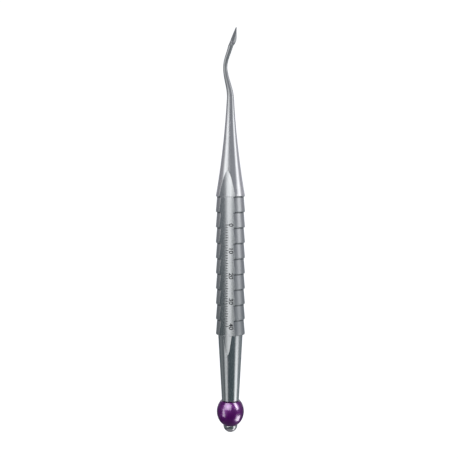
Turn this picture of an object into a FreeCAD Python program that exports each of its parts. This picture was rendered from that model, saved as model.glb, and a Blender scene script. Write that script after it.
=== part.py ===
"""Dental elevator: a bent, hollow-ground blade on a slender handle of scales, with a colour ball at the butt.

The handle's axis is Z. The origin is the lowest point of the end screw's dome and the blade points up.
Seen along +Y, the shank bends to -X and the blade leans to +X. Lengths are in millimetres, angles in degrees.
"""
import FreeCAD, Part
import math
import os
import re

import Sketcher

SIZES = [
    # end screw
    ("head_radius", 2.83, "end screw: radius of its domed head"),
    ("head_rim", 0.20, "end screw: straight rim above the dome"),
    ("screw_radius", 2.00, "end screw: threaded shank, M4"),
    ("screw_reach", 7.00, "end screw: how far the shank enters the tail"),
    # colour ball and its washers
    ("ball_radius", 5.46, "colour ball: radius at its widest"),
    ("ball_bulge", 6.25, "colour ball: half height of the full ellipsoid"),
    ("ball_under", 5.20, "colour ball: lower flat to widest place"),
    ("ball_over", 4.35, "colour ball: widest place to upper flat"),
    ("washer_radius", 2.75, "ball washers: outer radius"),
    ("washer_thickness", 0.22, "ball washers: thickness"),
    # tail
    ("tail_end_radius", 3.44, "tail cone: radius above the ball"),
    ("tail_root_radius", 4.92, "tail cone: radius under the grip"),
    ("tail_length", 26.76, "tail cone: ball washer to grip"),
    ("nut_seat", 12.00, "tail cone: lower end to the shoulder for the tie nut"),
    # grip
    ("scale_pitch", 6.084, "grip: height of one scale"),
    ("scale_count", 9, "grip: number of scales"),
    ("scale_top_radius", 5.31, "grip: radius at the top of a scale"),
    ("scale_lip_radius", 5.80, "grip: radius at the lip of a scale"),
    ("lip_round", 0.34, "grip and neck: rounding under a lip"),
    ("grip_bore", 3.50, "grip: bore radius"),
    # neck, shank
    ("neck_length", 38.70, "neck: grip to the top of the straight part"),
    ("neck_sag", 0.56, "neck: how far its flare is hollowed"),
    ("neck_end_radius", 1.40, "neck: radius where the shank starts"),
    ("bend_height", 11.90, "shank: neck end to the elbow"),
    ("elbow_reach", 2.03, "shank: elbow's distance from the handle's axis, to -X"),
    ("elbow_radius", 0.81, "shank: radius at the elbow"),
    ("reach_height", 8.30, "shank: elbow to the root of the blade"),
    # blade
    ("root_shift", 0.12, "blade: centre of its root from the handle's axis, to +X"),
    ("root_radius", 1.01, "blade: radius of its root"),
    ("blade_length", 7.15, "blade: root to point, along Z"),
    ("shoulder_rise", 1.75, "blade: root to its widest place, along Z"),
    ("shoulder_shift", 0.90, "blade: its widest place from its root, to +X"),
    ("shoulder_half_width", 1.17, "blade: half its greatest width"),
    ("shoulder_half_thickness", 0.72, "blade: half its thickness at its widest place"),
    ("point_shift", 2.21, "blade: its point from its root, to +X"),
    ("point_half_width", 0.20, "blade: half the width of its point"),
    ("point_half_thickness", 0.09, "blade: half the thickness of its point"),
    ("blade_belly", 0.07, "blade: how far each edge bows out half way up"),
    ("hollow_radius", 1.60, "blade: radius of its hollow-ground front"),
    ("hollow_floor", 0.15, "blade: floor of the hollow in front of the middle plane"),
    ("hollow_side", 0.20, "blade: the hollow's offset to +X"),
    ("hollow_tilt", 1.6, "blade: how the hollow dips to the point"),
    # spigots, seals, pins, rod
    ("spigot_length", 7.00, "neck and tail: spigot inside the grip"),
    ("fit_gap", 0.02, "radial gap of the spigots, pins and threads"),
    ("seal_width", 0.90, "seal rings: thickness of the ring"),
    ("seal_from_face", 3.00, "seal rings: centre to the end of the grip"),
    ("pin_radius", 0.35, "index pins: radius"),
    ("pin_length", 3.00, "index pins: length"),
    ("pin_circle", 4.20, "index pins: distance from the axis"),
    ("rod_radius", 1.25, "tie rod: radius, M2.5"),
    ("rod_reach", 11.00, "tie rod: how far it enters the neck's spigot end"),
    ("nut_radius", 1.90, "tie nut and lock washer: outer radius"),
    ("nut_height", 2.00, "tie nut: height"),
    ("rod_proud", 0.60, "tie rod: how far it stands out of the nut"),
    ("slot_width", 0.60, "tie nut: width of its driver slot"),
    ("slot_depth", 0.70, "tie nut: depth of its driver slot"),
    ("spring_thickness", 0.50, "lock washer: thickness"),
    ("spring_gap", 0.40, "lock washer: width of its split"),
    ("hole_relief", 0.50, "extra depth past the end of a rod, screw or pin"),
    ("edge_break", 0.15, "bevel on the ends of rods, screws and tubes"),
    # engraving flat: a long shallow flute down one side
    ("flute_turn", 15.5, "flute: turn from the front towards -X"),
    ("flute_radius", 20.0, "flute: radius of the wheel that grinds it"),
    ("flute_floor", 4.50, "flute: floor to the handle's axis"),
    ("neck_flute_tilt", 1.4, "flute: how it dips in the neck"),
    ("tail_flute_tilt", 0.1, "flute: how it dips in the tail"),
]

doc = FreeCAD.newDocument("dental_elevator")


def size_sheet():
    """The spreadsheet of driving sizes, one alias to a row."""
    sheet = doc.addObject("Spreadsheet::Sheet", "sizes")
    for row, (alias, number, meaning) in enumerate(SIZES, 1):
        sheet.set(f"A{row}", meaning)
        sheet.set(f"B{row}", str(number))
        sheet.setAlias(f"B{row}", alias)
    doc.recompute()
    return sheet


sizes = size_sheet()

# Levels along the handle's axis, as formulas over the sheet.
HEAD_TOP = "(head_radius + head_rim)"
BALL_BASE = f"({HEAD_TOP} + washer_thickness)"
BALL_TOP = f"({BALL_BASE} + ball_under + ball_over)"
TAIL_BASE = f"({BALL_TOP} + washer_thickness)"
GRIP_BASE = f"({TAIL_BASE} + tail_length)"
GRIP_TOP = f"({GRIP_BASE} + scale_pitch * scale_count)"
NECK_TOP = f"({GRIP_TOP} + neck_length)"
ELBOW = f"({NECK_TOP} + bend_height)"
BLADE_ROOT = f"({ELBOW} + reach_height)"
NUT_TOP = f"({TAIL_BASE} + nut_seat - spring_thickness)"
SPIGOT_RADIUS = "(grip_bore - fit_gap)"
ROD_HOLE = "(rod_radius + fit_gap)"
SCREW_HOLE = "(screw_radius + fit_gap)"
SEAL_FLOOR = "(grip_bore - seal_width)"

# Level sections in each bent run of the shank, less one.
RUN_STEPS = 3


def bound(formula):
    """The formula with each size named through the sheet, as FreeCAD's expressions need it."""
    return re.sub(r"\b([a-z][a-z_]+)\b(?!\s*\()", r"sizes.\1", formula)


def value(formula):
    """The formula's present number."""
    return float(sizes.evalExpression(bound(formula)))


def place(piece, x="0", y="0", z="0", turn="0", tilt="0"):
    """Tilts a piece about X, moves it, then turns it about the handle's axis."""
    turned_by = f"placement(vector(0; 0; 0); rotation(vector(0; 0; 1); {bound(turn)}))"
    moved_by = f"placement(vector({bound(x)}; {bound(y)}; {bound(z)}); rotation(vector(1; 0; 0); {bound(tilt)}))"
    piece.setExpression("Placement", f"{turned_by} * {moved_by}")


def cylinder(name, radius, height, **where):
    piece = doc.addObject("Part::Cylinder", name)
    piece.setExpression("Radius", bound(radius))
    piece.setExpression("Height", bound(height))
    place(piece, **where)
    return piece


def box(name, length, width, height, **where):
    piece = doc.addObject("Part::Box", name)
    piece.setExpression("Length", bound(length))
    piece.setExpression("Width", bound(width))
    piece.setExpression("Height", bound(height))
    place(piece, **where)
    return piece


def torus(name, ring_radius, section_radius, **where):
    piece = doc.addObject("Part::Torus", name)
    piece.setExpression("Radius1", bound(ring_radius))
    piece.setExpression("Radius2", bound(section_radius))
    place(piece, **where)
    return piece


def fused(name, pieces):
    piece = doc.addObject("Part::MultiFuse", name)
    piece.Shapes = pieces
    return piece


def cut(name, base, tools):
    """The base less every tool."""
    piece = doc.addObject("Part::Cut", name)
    piece.Base = base
    piece.Tool = tools[0] if len(tools) == 1 else fused(f"{name}_tools", tools)
    return piece


def arc_through(start, end, radius, side):
    """The arc from start to end, with its centre on the left (side 1) or on the right (side -1) of the way."""
    chord = end - start
    offset = math.sqrt(max(radius**2 - (chord.Length / 2) ** 2, 0))
    left = FreeCAD.Vector(-chord.y, chord.x, 0).normalize()
    centre = (start + end) / 2 + left * (offset * side)
    first, last = (start, end) if side > 0 else (end, start)
    from_angle = math.atan2(first.y - centre.y, first.x - centre.x)
    to_angle = math.atan2(last.y - centre.y, last.x - centre.x)
    if to_angle < from_angle:
        to_angle += 2 * math.pi
    circle = Part.Circle(centre, FreeCAD.Vector(0, 0, 1), radius)
    return Part.ArcOfCircle(circle, from_angle, to_angle)


def outline(body, name, points):
    """A closed outline on the body's XZ plane, in order round it: (x, z), or (x, z, radius, side) at an arc's end."""
    sketch = body.newObject("Sketcher::SketchObject", name)
    planes = {plane.Role: plane for plane in body.Origin.OriginFeatures}
    sketch.AttachmentSupport = [(planes["XZ_Plane"], "")]
    sketch.MapMode = "FlatFace"
    corners = [FreeCAD.Vector(value(point[0]), value(point[1]), 0) for point in points]
    ends = []
    for index, start in enumerate(corners):
        following = (index + 1) % len(points)
        bend = points[following][2:]
        if bend:
            radius, side = bend
            edge = sketch.addGeometry(arc_through(start, corners[following], value(radius), side))
            sketch.addConstraint(Sketcher.Constraint("Radius", edge, value(radius)))
            sketch.setExpression(f"Constraints[{sketch.ConstraintCount - 1}]", bound(radius))
            ends.append((edge, 1, 2) if side > 0 else (edge, 2, 1))
        else:
            edge = sketch.addGeometry(Part.LineSegment(start, corners[following]))
            ends.append((edge, 1, 2))
    for index, (edge, start_vertex, _) in enumerate(ends):
        previous_edge, _, end_vertex = ends[index - 1]
        sketch.addConstraint(Sketcher.Constraint("Coincident", previous_edge, end_vertex, edge, start_vertex))
        for direction, formula, number in (
            ("DistanceX", points[index][0], corners[index].x),
            ("DistanceY", points[index][1], corners[index].y),
        ):
            sketch.addConstraint(Sketcher.Constraint(direction, -1, 1, edge, start_vertex, number))
            sketch.setExpression(f"Constraints[{sketch.ConstraintCount - 1}]", bound(formula))
    return sketch


def revolve(body, name, points, kind="PartDesign::Revolution"):
    """Turns an outline round the handle's axis: adds it, or cuts it where kind is PartDesign::Groove."""
    sketch = outline(body, f"{name}_outline", points)
    feature = body.newObject(kind, name)
    feature.Profile = sketch
    feature.ReferenceAxis = (sketch, ["V_Axis"])
    feature.Angle = 360
    return feature


def body_named(name):
    return doc.addObject("PartDesign::Body", name)


def seal_groove(body, name, level):
    """The square groove that a seal ring lies in, round a spigot."""
    low = f"{level} - seal_width / 2 - fit_gap"
    high = f"{level} + seal_width / 2 + fit_gap"
    outside = "grip_bore + fit_gap"
    return revolve(
        body,
        name,
        [(SEAL_FLOOR, low), (outside, low), (outside, high), (SEAL_FLOOR, high)],
        "PartDesign::Groove",
    )


def flute_tool(name, level, tilt="0"):
    """The wheel's long cylinder, tilted about the place where its floor meets the given level."""
    reach = "(2 * scale_pitch * scale_count)"
    distance = "(flute_radius + flute_floor)"
    return cylinder(
        name,
        "flute_radius",
        f"2 * {reach}",
        y=f"{reach} * sin({tilt}) - {distance}",
        z=f"{level} - {reach} * cos({tilt})",
        turn="-flute_turn",
        tilt=tilt,
    )


def pin_place(level):
    """Where an index pin starts: behind the handle's axis, opposite the flute, half on each side of the joint."""
    return {"y": "pin_circle", "z": f"{level} - pin_length / 2", "turn": "-flute_turn"}


def pin_hole(name, level):
    where = pin_place(level)
    where["z"] = f"{level} - pin_length / 2 - hole_relief"
    return cylinder(name, "pin_radius + fit_gap", "pin_length + 2 * hole_relief", **where)


def index_pin(name, level):
    return cylinder(name, "pin_radius", "pin_length", **pin_place(level))


def seal_ring(name, level):
    """An O-ring that touches the groove's floor and the grip's bore."""
    return torus(name, "grip_bore - seal_width / 2", "seal_width / 2", z=level)


def end_screw():
    """A plain domed head under the ball and a threaded shank through it, into the tail."""
    body = body_named("end_screw")
    tip = f"({TAIL_BASE} + screw_reach)"
    revolve(
        body,
        "screw_turned",
        [
            ("0", "0"),
            ("head_radius", "head_radius", "head_radius", 1),
            ("head_radius", HEAD_TOP),
            ("screw_radius", HEAD_TOP),
            ("screw_radius", f"{tip} - edge_break"),
            ("screw_radius - edge_break", tip),
            ("0", tip),
        ],
    )
    return body


def colour_ball():
    """An ellipsoid, taller than wide, cut flat at both ends and bored for the end screw."""
    full = doc.addObject("Part::Ellipsoid", "ball_full")
    full.setExpression("Radius1", bound("ball_bulge"))
    full.setExpression("Radius2", bound("ball_radius"))
    full.setExpression("Radius3", bound("ball_radius"))
    place(full, z=f"{BALL_BASE} + ball_under")
    slab = cylinder("ball_slab", "2 * ball_radius", "ball_under + ball_over", z=BALL_BASE)
    flattened = doc.addObject("Part::Common", "ball_flattened")
    flattened.Base = full
    flattened.Tool = slab
    bore = cylinder("ball_bore", SCREW_HOLE, "2 * ball_bulge", z=f"{BALL_BASE} + ball_under - ball_bulge")
    return cut("colour_ball", flattened, [bore])


def tail_cone():
    """The polished taper under the grip: bored for the end screw and the tie nut, with a spigot on top."""
    body = body_named("tail_body")
    top = f"{GRIP_BASE} + spigot_length"
    seat = f"{TAIL_BASE} + nut_seat"
    revolve(
        body,
        "tail_turned",
        [
            (SCREW_HOLE, TAIL_BASE),
            ("tail_end_radius - edge_break", TAIL_BASE),
            ("tail_end_radius", f"{TAIL_BASE} + edge_break"),
            ("tail_root_radius", GRIP_BASE),
            (SPIGOT_RADIUS, GRIP_BASE),
            (SPIGOT_RADIUS, f"{top} - edge_break"),
            (f"{SPIGOT_RADIUS} - edge_break", top),
            (ROD_HOLE, top),
            (ROD_HOLE, seat),
            (SCREW_HOLE, seat),
        ],
    )
    seal_groove(body, "tail_seal_groove", f"({GRIP_BASE} + seal_from_face)")
    flute = flute_tool("tail_flute", GRIP_BASE, "tail_flute_tilt")
    return cut("tail_cone", body, [flute, pin_hole("tail_pin_hole_low", GRIP_BASE)])


def grip_sleeve():
    """A tube under nine rings, each flaring to a rounded lip at its lower end."""
    body = body_named("grip_body")
    revolve(
        body,
        "grip_tube",
        [
            ("grip_bore", GRIP_BASE),
            ("scale_top_radius - edge_break", GRIP_BASE),
            ("scale_top_radius - edge_break", GRIP_TOP),
            ("grip_bore", GRIP_TOP),
        ],
    )
    root = "(grip_bore + scale_top_radius) / 2"
    scale = revolve(
        body,
        "scale",
        [
            (root, GRIP_BASE),
            ("scale_lip_radius - lip_round", GRIP_BASE),
            ("scale_lip_radius", f"{GRIP_BASE} + lip_round", "lip_round", 1),
            ("scale_top_radius", f"{GRIP_BASE} + scale_pitch"),
            (root, f"{GRIP_BASE} + scale_pitch"),
        ],
    )
    row = body.newObject("PartDesign::LinearPattern", "scale_row")
    row.Originals = [scale]
    row.Direction = (scale.Profile[0], ["V_Axis"])
    row.setExpression("Length", bound("scale_pitch * (scale_count - 1)"))
    row.setExpression("Occurrences", bound("scale_count"))
    body.Tip = row
    tools = [
        flute_tool("grip_flute", GRIP_BASE),
        pin_hole("grip_pin_hole_low", GRIP_BASE),
        pin_hole("grip_pin_hole_high", GRIP_TOP),
    ]
    return cut("grip_sleeve", body, tools)


def section(name, x, z, half_width, half_thickness):
    """One level cross-section of the forging, its centre at x."""
    ring = doc.addObject("Part::Ellipse", name)
    ring.setExpression("MajorRadius", bound(half_width))
    ring.setExpression("MinorRadius", bound(half_thickness))
    place(ring, x=x, z=z)
    return ring


def loft(name, sections):
    piece = doc.addObject("Part::Loft", name)
    piece.Sections = sections
    piece.Solid = True
    return piece


def round_run(name, base, rise, from_x, to_x, from_radius, to_radius, ease):
    """A round bar between two levels: its radius tapers evenly, and its centre moves over by the ease of each share."""
    sections = []
    for step in range(RUN_STEPS + 1):
        share = step / RUN_STEPS
        x = f"{from_x} + ({to_x} - {from_x}) * {ease(share)}"
        radius = f"{from_radius} + ({to_radius} - {from_radius}) * {share}"
        sections.append(section(f"{name}_section_{step}", x, f"{base} + {rise} * {share}", radius, radius))
    return loft(name, sections)


def blade():
    """From the round root to a wide shoulder on one side, then tapering to a thin point."""
    stations = (
        ("root", "0", "0", "root_radius", "root_radius"),
        ("shoulder", "shoulder_shift", "shoulder_rise", "shoulder_half_width", "shoulder_half_thickness"),
        (
            "belly",
            "(shoulder_shift + point_shift) / 2",
            "(shoulder_rise + blade_length) / 2",
            "(shoulder_half_width + point_half_width) / 2 + blade_belly",
            "(shoulder_half_thickness + point_half_thickness) / 2",
        ),
        ("point", "point_shift", "blade_length", "point_half_width", "point_half_thickness"),
    )
    sections = [
        section(f"{name}_section", f"root_shift + {shift}", f"{BLADE_ROOT} + {rise}", half_width, half_thickness)
        for name, shift, rise, half_width, half_thickness in stations
    ]
    return loft("blade", sections)


def hollow_tool():
    """A ball-ended cutter laid along the blade's front, leaning and dipping with it."""
    rod = doc.addObject("Part::Cylinder", "hollow_rod")
    rod.setExpression("Radius", bound("hollow_radius"))
    rod.setExpression("Height", bound("blade_length"))
    end = doc.addObject("Part::Sphere", "hollow_end")
    end.setExpression("Radius", bound("hollow_radius"))
    x = bound("root_shift + shoulder_shift + hollow_side")
    y = bound("-hollow_radius - hollow_floor")
    z = bound(f"{BLADE_ROOT} + shoulder_rise")
    lean = bound("atan((point_shift - shoulder_shift) / (blade_length - shoulder_rise))")
    leaned = f"rotation(vector(0; 1; 0); {lean}) * rotation(vector(1; 0; 0); {bound('-hollow_tilt')})"
    for piece in (rod, end):
        piece.setExpression("Placement", f"placement(vector({x}; {y}; {z}); {leaned})")
    return fused("hollow_tool", [rod, end])


def working_end():
    """One forging: spigot, lip, flared neck, bent shank and blade, with a threaded hole for the tie rod."""
    body = body_named("neck_body")
    low = f"({GRIP_TOP} - spigot_length)"
    foot = f"({GRIP_TOP} + lip_round)"
    rod_end = f"({low} + rod_reach + hole_relief)"
    chord_squared = f"((scale_lip_radius - neck_end_radius)^2 + ({NECK_TOP} - {foot})^2)"
    revolve(
        body,
        "neck_turned",
        [
            (ROD_HOLE, low),
            (f"{SPIGOT_RADIUS} - edge_break", low),
            (SPIGOT_RADIUS, f"{low} + edge_break"),
            (SPIGOT_RADIUS, GRIP_TOP),
            ("scale_lip_radius - lip_round", GRIP_TOP),
            ("scale_lip_radius", foot, "lip_round", 1),
            ("neck_end_radius", NECK_TOP, f"{chord_squared} / (8 * neck_sag) + neck_sag / 2", -1),
            ("0", NECK_TOP),
            ("0", rod_end),
            (ROD_HOLE, rod_end),
        ],
    )
    seal_groove(body, "neck_seal_groove", f"({GRIP_TOP} - seal_from_face)")
    bend = round_run(
        "bend",
        NECK_TOP,
        "bend_height",
        "0",
        "(-elbow_reach)",
        "neck_end_radius",
        "elbow_radius",
        lambda share: share**2 * (3 - 2 * share),
    )
    reach = round_run(
        "reach",
        ELBOW,
        "reach_height",
        "(-elbow_reach)",
        "root_shift",
        "elbow_radius",
        "root_radius",
        lambda share: share**2 * (2 - share),
    )
    whole = fused("working_end_whole", [body, bend, reach, blade()])
    tools = [
        flute_tool("neck_flute", GRIP_TOP, "-neck_flute_tilt"),
        pin_hole("neck_pin_hole", GRIP_TOP),
        hollow_tool(),
    ]
    return cut("working_end", whole, tools)


def tie_rod():
    """A plain-drawn threaded rod, bevelled at both ends."""
    body = body_named("tie_rod")
    low = f"({NUT_TOP} - nut_height - rod_proud)"
    high = f"({GRIP_TOP} - spigot_length + rod_reach)"
    revolve(
        body,
        "rod_turned",
        [
            ("0", low),
            ("rod_radius - edge_break", low),
            ("rod_radius", f"{low} + edge_break"),
            ("rod_radius", f"{high} - edge_break"),
            ("rod_radius - edge_break", high),
            ("0", high),
        ],
    )
    return body


def tie_nut():
    """A round nut with a driver slot across its underside."""
    low = f"({NUT_TOP} - nut_height)"
    ring = ring_between("tie_nut_ring", "nut_radius", ROD_HOLE, low, "nut_height")
    slot = box(
        "tie_nut_slot",
        "4 * nut_radius",
        "slot_width",
        "slot_depth",
        x="-2 * nut_radius",
        y="-slot_width / 2",
        z=low,
    )
    return cut("tie_nut", ring, [slot])


def lock_washer():
    """A spring ring, split on one side, between the nut and the shoulder in the tail."""
    ring = ring_between("spring_ring", "nut_radius", ROD_HOLE, NUT_TOP, "spring_thickness")
    split = box("spring_split", "2 * nut_radius", "spring_gap", "spring_thickness", y="-spring_gap / 2", z=NUT_TOP)
    return cut("lock_washer", ring, [split])


def ring_between(name, outer, inner, level, height):
    """A flat ring on the handle's axis."""
    return cut(
        name,
        cylinder(f"{name}_disc", outer, height, z=level),
        [cylinder(f"{name}_hole", inner, height, z=level)],
    )


def ball_washer(name, level):
    return ring_between(name, "washer_radius", SCREW_HOLE, level, "washer_thickness")


PIECES = [
    working_end(),
    grip_sleeve(),
    tail_cone(),
    tie_rod(),
    tie_nut(),
    lock_washer(),
    seal_ring("neck_seal_ring", f"({GRIP_TOP} - seal_from_face)"),
    seal_ring("tail_seal_ring", f"({GRIP_BASE} + seal_from_face)"),
    index_pin("neck_index_pin", GRIP_TOP),
    index_pin("tail_index_pin", GRIP_BASE),
    colour_ball(),
    ball_washer("upper_ball_washer", BALL_TOP),
    ball_washer("lower_ball_washer", HEAD_TOP),
    end_screw(),
]

doc.recompute()

for item in doc.Objects:
    faults = [word for word in item.State if word in ("Invalid", "Error")]
    if faults:
        raise RuntimeError(f"{item.Name} did not build: {faults}")

for piece in PIECES:
    if piece.Shape.isNull() or not piece.Shape.isValid():
        raise RuntimeError(f"{piece.Label} has no valid solid")

os.makedirs("parts", exist_ok=True)
for piece in PIECES:
    piece.Shape.exportStep(f"parts/{piece.Label}.step")
    print(piece.Label, len(piece.Shape.Solids), round(piece.Shape.Volume, 3), piece.Shape.BoundBox)
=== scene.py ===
"""Looks of the dental elevator: polished and satin steel, a purple anodised ball and a graduated flute.

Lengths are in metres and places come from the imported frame. The handle's axis is Z, and the camera looks
along +Y.
"""
import math

import bpy
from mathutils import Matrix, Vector


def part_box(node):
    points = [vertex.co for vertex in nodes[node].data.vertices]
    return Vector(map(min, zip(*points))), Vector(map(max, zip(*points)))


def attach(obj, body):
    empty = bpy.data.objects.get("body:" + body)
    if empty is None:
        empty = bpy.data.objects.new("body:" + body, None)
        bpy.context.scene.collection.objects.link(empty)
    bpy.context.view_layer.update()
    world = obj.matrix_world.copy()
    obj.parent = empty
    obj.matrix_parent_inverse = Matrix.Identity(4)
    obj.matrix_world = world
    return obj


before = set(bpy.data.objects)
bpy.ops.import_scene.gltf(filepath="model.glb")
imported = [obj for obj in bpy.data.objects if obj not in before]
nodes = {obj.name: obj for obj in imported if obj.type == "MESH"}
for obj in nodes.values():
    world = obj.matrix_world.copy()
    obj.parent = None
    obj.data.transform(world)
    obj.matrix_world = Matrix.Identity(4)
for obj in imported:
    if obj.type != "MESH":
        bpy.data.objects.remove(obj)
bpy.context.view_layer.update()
scene = bpy.context.scene

MM = 0.001
MICRON = 0.001 * MM

# Camera: its aim on the handle, its distance, how far it looks down, and its lens on a sensor 36 mm wide.
LENS = 63.511
SENSOR_WIDTH = 36.0
AIM = Vector((-0.55, 0.0, 81.72)) * MM
CAMERA_DISTANCE = 320 * MM
CAMERA_PITCH = math.radians(3.5)

# Studio: a white paper wall behind the handle, a pale floor well below it, and how far off the lamps stand.
FLOOR_LEVEL = -1.0
FLOOR_RADIUS = 0.9
WALL_DISTANCE = 1.1
WALL_WIDTH = 0.84
WALL_HEIGHT = 1.44
PANEL_DISTANCE = 1.6
CARD_DISTANCE = 0.5

# The ground flute down the handle's front: its turn towards -X, the wheel's radius, its floor's distance from
# the axis, how it dips at both ends, and how near to the wheel a point has to be to count as ground.
FLUTE_TURN = math.radians(15.5)
FLUTE_RADIUS = 20 * MM
FLUTE_FLOOR = 4.50 * MM
FLUTE_OUT = Vector((-math.sin(FLUTE_TURN), -math.cos(FLUTE_TURN), 0))
FLUTE_ACROSS = Vector((math.cos(FLUTE_TURN), -math.sin(FLUTE_TURN), 0))
NECK_FLUTE_TILT = math.radians(1.4)
TAIL_FLUTE_TILT = math.radians(0.1)
FLUTE_NEARNESS = (0.012 * MM, 0.05 * MM)

# The grip's two ends, the pitch of its nine scales, and where along each scale the painted shade under the
# next lip begins.
GRIP_LOW, GRIP_HIGH = (corner.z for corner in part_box("grip_sleeve"))
SCALE_PITCH = (GRIP_HIGH - GRIP_LOW) / 9
SCALE_LIP_SHADE = (0.915, 0.955)

# Turned surfaces: how far their normals rise for each unit out, the neck's at the grip and further up, and
# the levels where each surface fades in and out.
NECK_SLOPES = (0.1752, 0.0629)
NECK_TURNED = ((GRIP_HIGH + 0.7 * MM, GRIP_HIGH + 1.1 * MM), (129 * MM, 131 * MM))
TAIL_SLOPE = -0.0556
TAIL_TURNED = ((15 * MM, 15.4 * MM), (GRIP_LOW - 0.6 * MM, GRIP_LOW - 0.3 * MM))

# The shank's polish fades to a fine matte finish between these levels.
MATTE = (122 * MM, 142 * MM)

# The middle of the colour ball.
BALL = (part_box("colour_ball")[0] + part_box("colour_ball")[1]) / 2

# The graduation on the flute: its zero, its length, half the thickness of its marks, its ticks, which start
# at a base across the flute, and its numbers, with their middle across the flute and how far strokes widen.
GRADUATION_TOP = GRIP_HIGH - 11 * MM
GRADUATION_MILLIMETRES = 40
MARK_SKIN = 6 * MICRON
TICK_WIDTH = 0.26 * MM
TICK_BASE = -0.65 * MM
TICK_LENGTHS = {"one": 0.8 * MM, "five": 1.0 * MM, "ten": 1.15 * MM}
NUMBER_SIZE = 2.55 * MM
NUMBER_MIDDLE = 1.42 * MM
NUMBER_WIDENING = 0.05 * MM


# ---------------------------------------------------------------- node helpers


class Nodes:
    """Short calls for building a node tree."""

    def __init__(self, tree):
        self.tree = tree

    def add(self, kind, **settings):
        node = self.tree.nodes.new(kind)
        for key, setting in settings.items():
            setattr(node, key, setting)
        return node

    def feed(self, socket, source):
        """Links a source to a socket, or sets the socket where the source is a plain number or tuple."""
        if isinstance(source, bpy.types.NodeSocket):
            self.tree.links.new(source, socket)
        else:
            socket.default_value = source

    def math(self, operation, *sources):
        node = self.add("ShaderNodeMath", operation=operation)
        for socket, source in zip(node.inputs, sources):
            self.feed(socket, source)
        return node.outputs[0]

    def vector(self, operation, *sources):
        node = self.add("ShaderNodeVectorMath", operation=operation)
        for socket, source in zip(node.inputs, sources):
            self.feed(socket, source)
        return node.outputs["Value"] if operation in ("DOT_PRODUCT", "LENGTH") else node.outputs["Vector"]

    def position(self):
        """The point on the piece, in the row's own frame."""
        return self.add("ShaderNodeTexCoord").outputs["Object"]

    def level(self):
        """How high the point is."""
        node = self.add("ShaderNodeSeparateXYZ")
        self.feed(node.inputs[0], self.position())
        return node.outputs["Z"]

    def noise(self, stretch, detail=4.0, roughness=0.5):
        """Noise from 0 to 1, finer the larger each axis of stretch is, in waves to the metre."""
        scaled = self.vector("MULTIPLY", self.position(), stretch)
        node = self.add("ShaderNodeTexNoise")
        node.inputs["Scale"].default_value = 1.0
        node.inputs["Detail"].default_value = detail
        node.inputs["Roughness"].default_value = roughness
        self.feed(node.inputs["Vector"], scaled)
        return node.outputs["Fac"]

    def spread(self, source, low, high, from_low=0.3, from_high=0.7):
        """Maps a source onto low to high, clamped."""
        node = self.add("ShaderNodeMapRange")
        node.inputs["From Min"].default_value = from_low
        node.inputs["From Max"].default_value = from_high
        node.inputs["To Min"].default_value = low
        node.inputs["To Max"].default_value = high
        self.feed(node.inputs["Value"], source)
        return node.outputs["Result"]

    def window(self, source, fade_in, fade_out):
        """1 where the source lies between two pairs of levels, fading inside each pair."""
        begun = self.spread(source, 0, 1, *fade_in)
        return self.math("MULTIPLY", begun, self.spread(source, 1, 0, *fade_out))

    def blend(self, factor, first, second):
        """A colour between two, by the factor."""
        node = self.add("ShaderNodeMix", data_type="RGBA")
        self.feed(node.inputs["Factor"], factor)
        self.feed(node.inputs["A"], first)
        self.feed(node.inputs["B"], second)
        return node.outputs["Result"]

    def between(self, factor, first, second):
        """A number between two, by the factor."""
        node = self.add("ShaderNodeMix", data_type="FLOAT")
        self.feed(node.inputs["Factor"], factor)
        self.feed(node.inputs["A"], first)
        self.feed(node.inputs["B"], second)
        return node.outputs["Result"]

    def bump(self, height, depth, strength, normal=None):
        node = self.add("ShaderNodeBump")
        node.inputs["Strength"].default_value = strength
        node.inputs["Distance"].default_value = depth
        self.feed(node.inputs["Height"], height)
        if normal is not None:
            self.feed(node.inputs["Normal"], normal)
        return node.outputs["Normal"]

    def turned(self, eased, slope, share):
        """The true normal of a surface turned about Z, with its eased edges kept.

        The flat triangles of the solid would ripple in a polish. Slope is how far the normal rises for each
        unit out, and share is 1 where the surface is turned.
        """
        out = self.vector("NORMALIZE", self.vector("MULTIPLY", self.position(), (1, 1, 0)))
        rise = self.add("ShaderNodeCombineXYZ")
        self.feed(rise.inputs["Z"], slope)
        true = self.vector("NORMALIZE", self.vector("ADD", out, rise.outputs[0]))
        ease = self.vector("SUBTRACT", eased, self.add("ShaderNodeNewGeometry").outputs["Normal"])
        true = self.vector("NORMALIZE", self.vector("ADD", true, ease))
        mixed = self.add("ShaderNodeMix", data_type="VECTOR")
        self.feed(mixed.inputs["Factor"], share)
        self.feed(mixed.inputs["A"], eased)
        self.feed(mixed.inputs["B"], true)
        return self.vector("NORMALIZE", mixed.outputs["Result"])

    def rounded(self, radius):
        """A normal that runs smoothly over the edges, as tumbling leaves them."""
        node = self.add("ShaderNodeBevel", samples=6)
        node.inputs["Radius"].default_value = radius
        return node.outputs["Normal"]


def new_material(name, metallic=0.0, roughness=0.5, color=(0.5, 0.5, 0.5)):
    """A material, its shader and its nodes. Roughness and colour hold where no node feeds them."""
    material = bpy.data.materials.new(name)
    material.use_nodes = True
    shader = material.node_tree.nodes["Principled BSDF"]
    shader.inputs["Base Color"].default_value = (*color, 1)
    shader.inputs["Metallic"].default_value = metallic
    shader.inputs["Roughness"].default_value = roughness
    return material, shader, Nodes(material.node_tree)


# ---------------------------------------------------------------- materials


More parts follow.
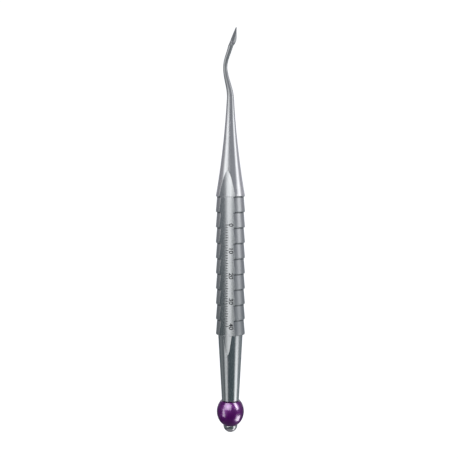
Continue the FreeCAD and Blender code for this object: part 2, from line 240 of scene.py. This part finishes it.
def flute_mask(tree):
    """1 on the ground flute and 0 elsewhere, by how near the grinding wheel's cylinder is."""
    place = tree.position()
    z = tree.level()
    over_grip = tree.math("MAXIMUM", tree.math("SUBTRACT", z, GRIP_HIGH), 0.0)
    under_grip = tree.math("MAXIMUM", tree.math("SUBTRACT", GRIP_LOW, z), 0.0)
    dip = tree.math(
        "ADD",
        tree.math("MULTIPLY", over_grip, math.tan(NECK_FLUTE_TILT)),
        tree.math("MULTIPLY", under_grip, math.tan(TAIL_FLUTE_TILT)),
    )
    out = tree.vector("DOT_PRODUCT", place, tuple(FLUTE_OUT))
    across = tree.vector("DOT_PRODUCT", place, tuple(FLUTE_ACROSS))
    to_axis = tree.math("SUBTRACT", tree.math("SUBTRACT", FLUTE_FLOOR + FLUTE_RADIUS, dip), out)
    squared = tree.math("ADD", tree.math("MULTIPLY", to_axis, to_axis), tree.math("MULTIPLY", across, across))
    off_surface = tree.math("ABSOLUTE", tree.math("SUBTRACT", tree.math("SQRT", squared), FLUTE_RADIUS))
    return tree.spread(off_surface, 1.0, 0.0, *FLUTE_NEARNESS)


def polished_steel():
    """Stainless steel with faint lengthwise buffing, ground in the flute and glare-free at the tip."""
    material, shader, tree = new_material("polished_steel", 1.0)
    buffing = tree.noise((2600, 2600, 55), detail=5)
    clouds = tree.noise((160, 160, 60), detail=3)
    ground = flute_mask(tree)
    grinding = tree.noise((3800, 3800, 110), detail=4)
    blasting = tree.noise((6500, 6500, 6500), detail=3)
    z = tree.level()
    tip = tree.spread(z, 0.0, 1.0, *MATTE)
    mirror = tree.math("ADD", tree.spread(buffing, 0.20, 0.26), tree.spread(clouds, -0.015, 0.02))
    handle = tree.between(ground, mirror, tree.spread(grinding, 0.155, 0.22))
    tree.feed(shader.inputs["Roughness"], tree.between(tip, handle, tree.spread(blasting, 0.34, 0.42)))
    bright = tree.blend(tree.spread(clouds, 0, 1), (0.60, 0.612, 0.622, 1), (0.635, 0.64, 0.645, 1))
    bright = tree.blend(ground, bright, (0.555, 0.565, 0.57, 1))
    tree.feed(shader.inputs["Base Color"], tree.blend(tip, bright, (0.42, 0.432, 0.435, 1)))
    edge = tree.rounded(0.22 * MM)
    unground = tree.math("SUBTRACT", 1.0, ground)
    neck_slope = tree.spread(z, *NECK_SLOPES, GRIP_HIGH, NECK_TURNED[1][1])
    neck = tree.math("MULTIPLY", tree.window(z, *NECK_TURNED), unground)
    tail = tree.math("MULTIPLY", tree.window(z, *TAIL_TURNED), unground)
    edge = tree.turned(edge, neck_slope, neck)
    edge = tree.turned(edge, TAIL_SLOPE, tail)
    fine = tree.bump(buffing, 0.9 * MICRON, 0.35, edge)
    tree.feed(shader.inputs["Normal"], tree.bump(grinding, 1.6 * MICRON, 0.35, fine))
    return material


def satin_steel():
    """Blasted stainless steel over fine turning lines, with painted shade in the scales' roots under each
    lip, and ground in the flute.
    """
    material, shader, tree = new_material("satin_steel", 1.0)
    grain = tree.noise((5200, 5200, 5200), detail=3)
    turning = tree.noise((40, 40, 7200), detail=2)
    clouds = tree.noise((220, 220, 140), detail=3)
    ground = flute_mask(tree)
    grinding = tree.noise((3800, 3800, 110), detail=4)
    blasted = tree.math("ADD", tree.spread(grain, 0.27, 0.35), tree.spread(clouds, -0.02, 0.03))
    tree.feed(shader.inputs["Roughness"], tree.between(ground, blasted, tree.spread(grinding, 0.155, 0.22)))
    dull_and_shade = tree.blend(tree.spread(clouds, 0, 1), (0.475, 0.487, 0.492, 1), (0.53, 0.538, 0.54, 1))
    up_grip = tree.math("SUBTRACT", tree.level(), GRIP_LOW)
    along_scale = tree.math("FRACT", tree.math("DIVIDE", up_grip, SCALE_PITCH))
    unground = tree.math("SUBTRACT", 1.0, ground)
    # Painted shade: the base colour of each scale's root, just under the next scale's lip, is darkened where
    # shadow falls, except in the flute.
    root = tree.math("MULTIPLY", tree.spread(along_scale, 0.0, 1.0, *SCALE_LIP_SHADE), unground)
    dull_and_shade = tree.blend(root, dull_and_shade, (0.21, 0.22, 0.225, 1))
    tree.feed(shader.inputs["Base Color"], tree.blend(ground, dull_and_shade, (0.545, 0.555, 0.56, 1)))
    edge = tree.rounded(0.18 * MM)
    lines = tree.bump(turning, 2.2 * MICRON, 0.4, edge)
    tree.feed(shader.inputs["Normal"], tree.bump(grain, 2.0 * MICRON, 0.35, lines))
    return material


def purple_anodised():
    """Dyed anodised aluminium under a clear oxide skin, which gives it all its gloss."""
    material, shader, tree = new_material("purple_anodised", 0.12)
    clouds = tree.noise((240, 240, 240), detail=3)
    pores = tree.noise((6500, 6500, 6500), detail=2)
    turning = tree.noise((30, 30, 5200), detail=2)
    dye = tree.blend(tree.spread(clouds, 0, 1), (0.082, 0.001, 0.112, 1), (0.108, 0.002, 0.143, 1))
    tree.feed(shader.inputs["Base Color"], dye)
    tree.feed(shader.inputs["Roughness"], tree.spread(pores, 0.40, 0.48))
    edge = tree.rounded(0.12 * MM)
    tree.feed(shader.inputs["Normal"], tree.bump(turning, 0.8 * MICRON, 0.3, edge))
    shader.inputs["Coat Weight"].default_value = 1.0
    shader.inputs["Coat Roughness"].default_value = 0.2
    shader.inputs["Coat IOR"].default_value = 1.4
    shader.inputs["Specular IOR Level"].default_value = 0.0
    return material


def machined_steel():
    """Turned stainless steel of the parts inside the handle."""
    material, shader, tree = new_material("machined_steel", 1.0, color=(0.55, 0.55, 0.56))
    turning = tree.noise((60, 60, 5200), detail=3)
    tree.feed(shader.inputs["Roughness"], tree.spread(turning, 0.24, 0.36))
    tree.feed(shader.inputs["Normal"], tree.bump(turning, 3.0 * MICRON, 0.5, tree.rounded(0.06 * MM)))
    return material


def seal_material(name, dark, light, roughness):
    """Dark rubber or polymer with a faint moulded grain."""
    material, shader, tree = new_material(name)
    grain = tree.noise((2600, 2600, 2600), detail=4)
    tree.feed(shader.inputs["Base Color"], tree.blend(tree.spread(grain, 0, 1), (*dark, 1), (*light, 1)))
    tree.feed(shader.inputs["Roughness"], tree.spread(grain, roughness - 0.06, roughness + 0.06))
    tree.feed(shader.inputs["Normal"], tree.bump(grain, 4.0 * MICRON, 0.5))
    return material


def etched_black():
    """Laser-darkened oxide of the graduation."""
    material, shader, tree = new_material("etched_black", 0.1)
    speckle = tree.noise((5200, 5200, 5200), detail=4)
    oxide = tree.blend(tree.spread(speckle, 0, 1), (0.012, 0.014, 0.017, 1), (0.045, 0.048, 0.054, 1))
    tree.feed(shader.inputs["Base Color"], oxide)
    tree.feed(shader.inputs["Roughness"], tree.spread(speckle, 0.45, 0.65))
    return material


def dress_nodes():
    """Every CAD node gets the finish of what it is."""
    polished, satin, machined = polished_steel(), satin_steel(), machined_steel()
    rubber = seal_material("seal_rubber", (0.018, 0.018, 0.020), (0.035, 0.034, 0.036), 0.6)
    polymer = seal_material("washer_polymer", (0.030, 0.030, 0.034), (0.060, 0.060, 0.066), 0.5)
    finishes = {
        "working_end": polished,
        "tail_cone": polished,
        "end_screw": polished,
        "grip_sleeve": satin,
        "colour_ball": purple_anodised(),
        "tie_rod": machined,
        "tie_nut": machined,
        "lock_washer": machined,
        "neck_index_pin": machined,
        "tail_index_pin": machined,
        "neck_seal_ring": rubber,
        "tail_seal_ring": rubber,
        "upper_ball_washer": polymer,
        "lower_ball_washer": polymer,
    }
    for name, node in nodes.items():
        for slot in node.material_slots:
            slot.material = finishes[name]


# ---------------------------------------------------------------- graduation


def on_flute(across, z, proud):
    """The point on the flute's floor, so far across and up, standing proud of it."""
    rise = FLUTE_RADIUS - math.sqrt(FLUTE_RADIUS**2 - across**2)
    return FLUTE_OUT * (FLUTE_FLOOR + rise + proud) + FLUTE_ACROSS * across + Vector((0, 0, z))


def add_piece(name, mesh):
    mesh.name = name
    piece = bpy.data.objects.new(name, mesh)
    scene.collection.objects.link(piece)
    return piece


def add_bar(points, faces, across_range, z_range):
    """Adds to points and faces a thin closed bar that follows the flute's hollow."""
    steps = 4
    low, high = across_range
    start = len(points)
    for proud in (-MARK_SKIN, MARK_SKIN):
        for z in z_range:
            points.extend(on_flute(low + (high - low) * step / steps, z, proud) for step in range(steps + 1))

    def corner(layer, side, step):
        return start + (2 * layer + side) * (steps + 1) + step

    for step in range(steps):
        ahead = step + 1
        faces.append([corner(0, 0, step), corner(0, 0, ahead), corner(0, 1, ahead), corner(0, 1, step)])
        faces.append([corner(1, 0, step), corner(1, 1, step), corner(1, 1, ahead), corner(1, 0, ahead)])
        faces.append([corner(1, 0, step), corner(1, 0, ahead), corner(0, 0, ahead), corner(0, 0, step)])
        faces.append([corner(1, 1, ahead), corner(1, 1, step), corner(0, 1, step), corner(0, 1, ahead)])
    for end, first, second in ((0, 0, 1), (steps, 1, 0)):
        inner = [corner(0, first, end), corner(0, second, end)]
        faces.append(inner + [corner(1, second, end), corner(1, first, end)])


def add_ticks():
    """A tick for each millimetre, longer at the fives and the tens."""
    points, faces = [], []
    for mark in range(GRADUATION_MILLIMETRES + 1):
        kind = "ten" if mark % 10 == 0 else "five" if mark % 5 == 0 else "one"
        z = GRADUATION_TOP - mark * MM
        across_range = (TICK_BASE, TICK_BASE + TICK_LENGTHS[kind])
        add_bar(points, faces, across_range, (z - TICK_WIDTH / 2, z + TICK_WIDTH / 2))
    mesh = bpy.data.meshes.new("etched_ticks")
    mesh.from_pydata([tuple(point) for point in points], [], faces)
    mesh.validate()
    return add_piece("etched_ticks", mesh)


def add_number(mark):
    """The mark's plain number, laid on the flute and reading down the handle."""
    curve = bpy.data.curves.new(f"number_{mark}", "FONT")
    curve.body = str(mark)
    curve.size = NUMBER_SIZE
    curve.extrude = MARK_SKIN
    curve.offset = NUMBER_WIDENING
    curve.align_x = "CENTER"
    curve.align_y = "CENTER"
    letter = bpy.data.objects.new(f"number_{mark}", curve)
    scene.collection.objects.link(letter)
    bpy.context.view_layer.update()
    flat = bpy.data.meshes.new_from_object(letter)
    bpy.data.objects.remove(letter)
    middle = GRADUATION_TOP - mark * MM
    for vertex in flat.vertices:
        along, up, out = vertex.co
        vertex.co = on_flute(NUMBER_MIDDLE + up, middle - along, out)
    return add_piece(f"etched_number_{mark}", flat)


def add_graduation():
    """A plain millimetre scale on the flute: ticks, and the tens as numbers."""
    pieces = [add_ticks()]
    pieces += [add_number(mark) for mark in range(0, GRADUATION_MILLIMETRES + 1, 10)]
    black = etched_black()
    for piece in pieces:
        piece.data.materials.clear()
        piece.data.materials.append(black)
        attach(piece, "root")


# ---------------------------------------------------------------- studio


def add_camera():
    data = bpy.data.cameras.new("camera")
    data.sensor_width = SENSOR_WIDTH
    data.lens = LENS
    data.clip_start = 0.01
    camera = bpy.data.objects.new("camera", data)
    camera.location = AIM + CAMERA_DISTANCE * Vector((0, -math.cos(CAMERA_PITCH), math.sin(CAMERA_PITCH)))
    camera.rotation_euler = (math.pi / 2 - CAMERA_PITCH, 0, 0)
    scene.collection.objects.link(camera)
    scene.camera = camera


def panel(name, azimuth, elevation, width, height, radiance, aim=AIM, distance=PANEL_DISTANCE, spread=60):
    """A soft rectangular lamp behind a grid, facing its aim.

    Its place, size and spread are in degrees, with the azimuth from the camera's side towards +X.
    """
    data = bpy.data.lights.new(name, "AREA")
    data.shape = "RECTANGLE"
    data.size = 2 * distance * math.tan(math.radians(width) / 2)
    data.size_y = 2 * distance * math.tan(math.radians(height) / 2)
    data.spread = math.radians(spread)
    # A grid gathers the lamp's power, so less power keeps the same radiance straight ahead.
    gathered = 1 - data.spread / 2 / math.tan(data.spread / 2)
    data.energy = radiance * math.pi * data.size * data.size_y * gathered
    lamp = bpy.data.objects.new(name, data)
    turn, rise = math.radians(azimuth), math.radians(elevation)
    out = Vector((math.sin(turn) * math.cos(rise), -math.cos(turn) * math.cos(rise), math.sin(rise)))
    lamp.location = aim + distance * out
    lamp.rotation_euler = out.to_track_quat("Z", "Y").to_euler()
    lamp.visible_camera = False
    scene.collection.objects.link(lamp)
    return lamp


def card(name, azimuth, elevation, width, height, radiance, lit):
    """A small bright panel close to the ball that shows in one node's gloss and is flagged off the rest."""
    lamp = panel(name, azimuth, elevation, width, height, radiance, BALL, CARD_DISTANCE, spread=100)
    receivers = bpy.data.collections.new(f"lit_by_{name}")
    receivers.objects.link(nodes[lit])
    lamp.light_linking.receiver_collection = receivers
    lamp.visible_diffuse = False


def add_lamps():
    """Soft panels on both sides, with a dark gap in front, and small cards round the ball."""
    panel("left_upper", -60, 17, 46, 34, 1.5)
    panel("left_neck", -36, 11, 15, 20, 0.8)
    panel("left_flute", -35, -6, 12, 26, 1.3)
    panel("left_middle", -54, -9, 22, 14, 0.3)
    panel("left_lower", -51, -23, 30, 14, 0.85)
    panel("left_side", -105, -24, 50, 24, 0.2)
    panel("left_side_high", -97, 5, 20, 14, 0.35)
    panel("right_upper", 80, 22, 36, 36, 1.5)
    panel("right_high", 74, 7, 40, 12, 0.75)
    panel("right_middle", 84, -6, 28, 14, 0.25)
    panel("right_lower", 72, -26, 40, 18, 1.9)
    panel("right_side", 115, -22, 36, 24, 0.2)
    panel("overhead", 0, 38, 60, 24, 0.8)
    panel("blade", -26, 29, 26, 12, 2.5)
    card("ball_left", -28, 38, 62, 44, 20, "colour_ball")
    card("ball_right", 65, 33, 22, 46, 34, "colour_ball")
    card("ball_low_left", -58, -8, 20, 44, 13, "colour_ball")
    card("ball_low_right", 77, -39, 34, 30, 20, "colour_ball")
    card("dome_low_right", 82, -48, 30, 30, 1.3, "end_screw")


def add_world():
    """A studio that is pale behind the handle, grey at the sides, dark low down and brighter towards +X."""
    blue, towards_x = 1.05, 0.22
    world = bpy.data.worlds.new("studio")
    world.use_nodes = True
    tree = Nodes(world.node_tree)
    background = world.node_tree.nodes["Background"]
    split = tree.add("ShaderNodeSeparateXYZ")
    tree.feed(split.inputs[0], tree.add("ShaderNodeTexCoord").outputs["Generated"])

    def ramp(source, levels):
        """Levels along the source, from -1 to 1, each with how warm it is: its red against its green."""
        node = tree.add("ShaderNodeValToRGB")
        tree.feed(node.inputs[0], tree.math("MULTIPLY_ADD", source, 0.5, 0.5))
        stops = node.color_ramp
        while len(stops.elements) < len(levels):
            stops.elements.new(0.5)
        for element, (place, level, warmth) in zip(stops.elements, levels):
            element.position = (place + 1) / 2
            element.color = (level * warmth, level, level * blue, 1)
        return node.outputs[0]

    round_about = ramp(
        split.outputs["Y"],
        ((-1.0, 0.34, 1.0), (-0.6, 0.35, 1.0), (-0.1, 0.40, 1.03), (0.6, 0.44, 1.05), (0.92, 0.60, 1.0)),
    )
    up_and_down = ramp(
        split.outputs["Z"],
        (
            (-1.0, 0.12, 0.85),
            (-0.34, 0.31, 0.74),
            (-0.17, 0.33, 0.80),
            (-0.035, 0.66, 0.88),
            (0.10, 0.95, 0.97),
            (0.40, 0.90, 0.98),
            (0.80, 0.80, 0.98),
            (1.0, 1.40, 0.98),
        ),
    )
    tree.feed(background.inputs["Color"], tree.vector("MULTIPLY", round_about, up_and_down))
    tree.feed(background.inputs["Strength"], tree.math("MULTIPLY_ADD", split.outputs["X"], towards_x, 1.0))
    scene.world = world


def plain_paper(name, color, glow):
    """Pale paper that the camera and reflections see a little brighter than the lamps leave it, by glow."""
    material, shader, tree = new_material(name, roughness=0.9, color=(color, color, color))
    if glow:
        path = tree.add("ShaderNodeLightPath")
        seen = tree.math("ADD", path.outputs["Is Camera Ray"], path.outputs["Is Glossy Ray"])
        seen = tree.math("ADD", seen, path.outputs["Is Transmission Ray"])
        tree.feed(shader.inputs["Emission Strength"], tree.math("MULTIPLY", seen, glow))
        shader.inputs["Emission Color"].default_value = (1, 1, 1, 1)
    return material


def add_stage():
    """The floor, and the white wall behind."""
    bpy.ops.mesh.primitive_circle_add(vertices=128, radius=FLOOR_RADIUS, fill_type="NGON")
    floor = bpy.context.object
    floor.name = "floor"
    floor.location = (0, 0, FLOOR_LEVEL)
    floor.data.materials.append(plain_paper("floor_paper", 0.65, 0))
    bpy.ops.mesh.primitive_plane_add(size=1)
    wall = bpy.context.object
    wall.name = "wall"
    wall.scale = (WALL_WIDTH, WALL_HEIGHT, 1)
    wall.rotation_euler = (math.pi / 2, 0, 0)
    wall.location = (0, WALL_DISTANCE, FLOOR_LEVEL + WALL_HEIGHT / 2)
    wall.data.materials.append(plain_paper("wall_paper", 0.85, 0.83))


add_camera()
add_world()
add_stage()
add_lamps()
scene.view_settings.view_transform = "Standard"
dress_nodes()
add_graduation()
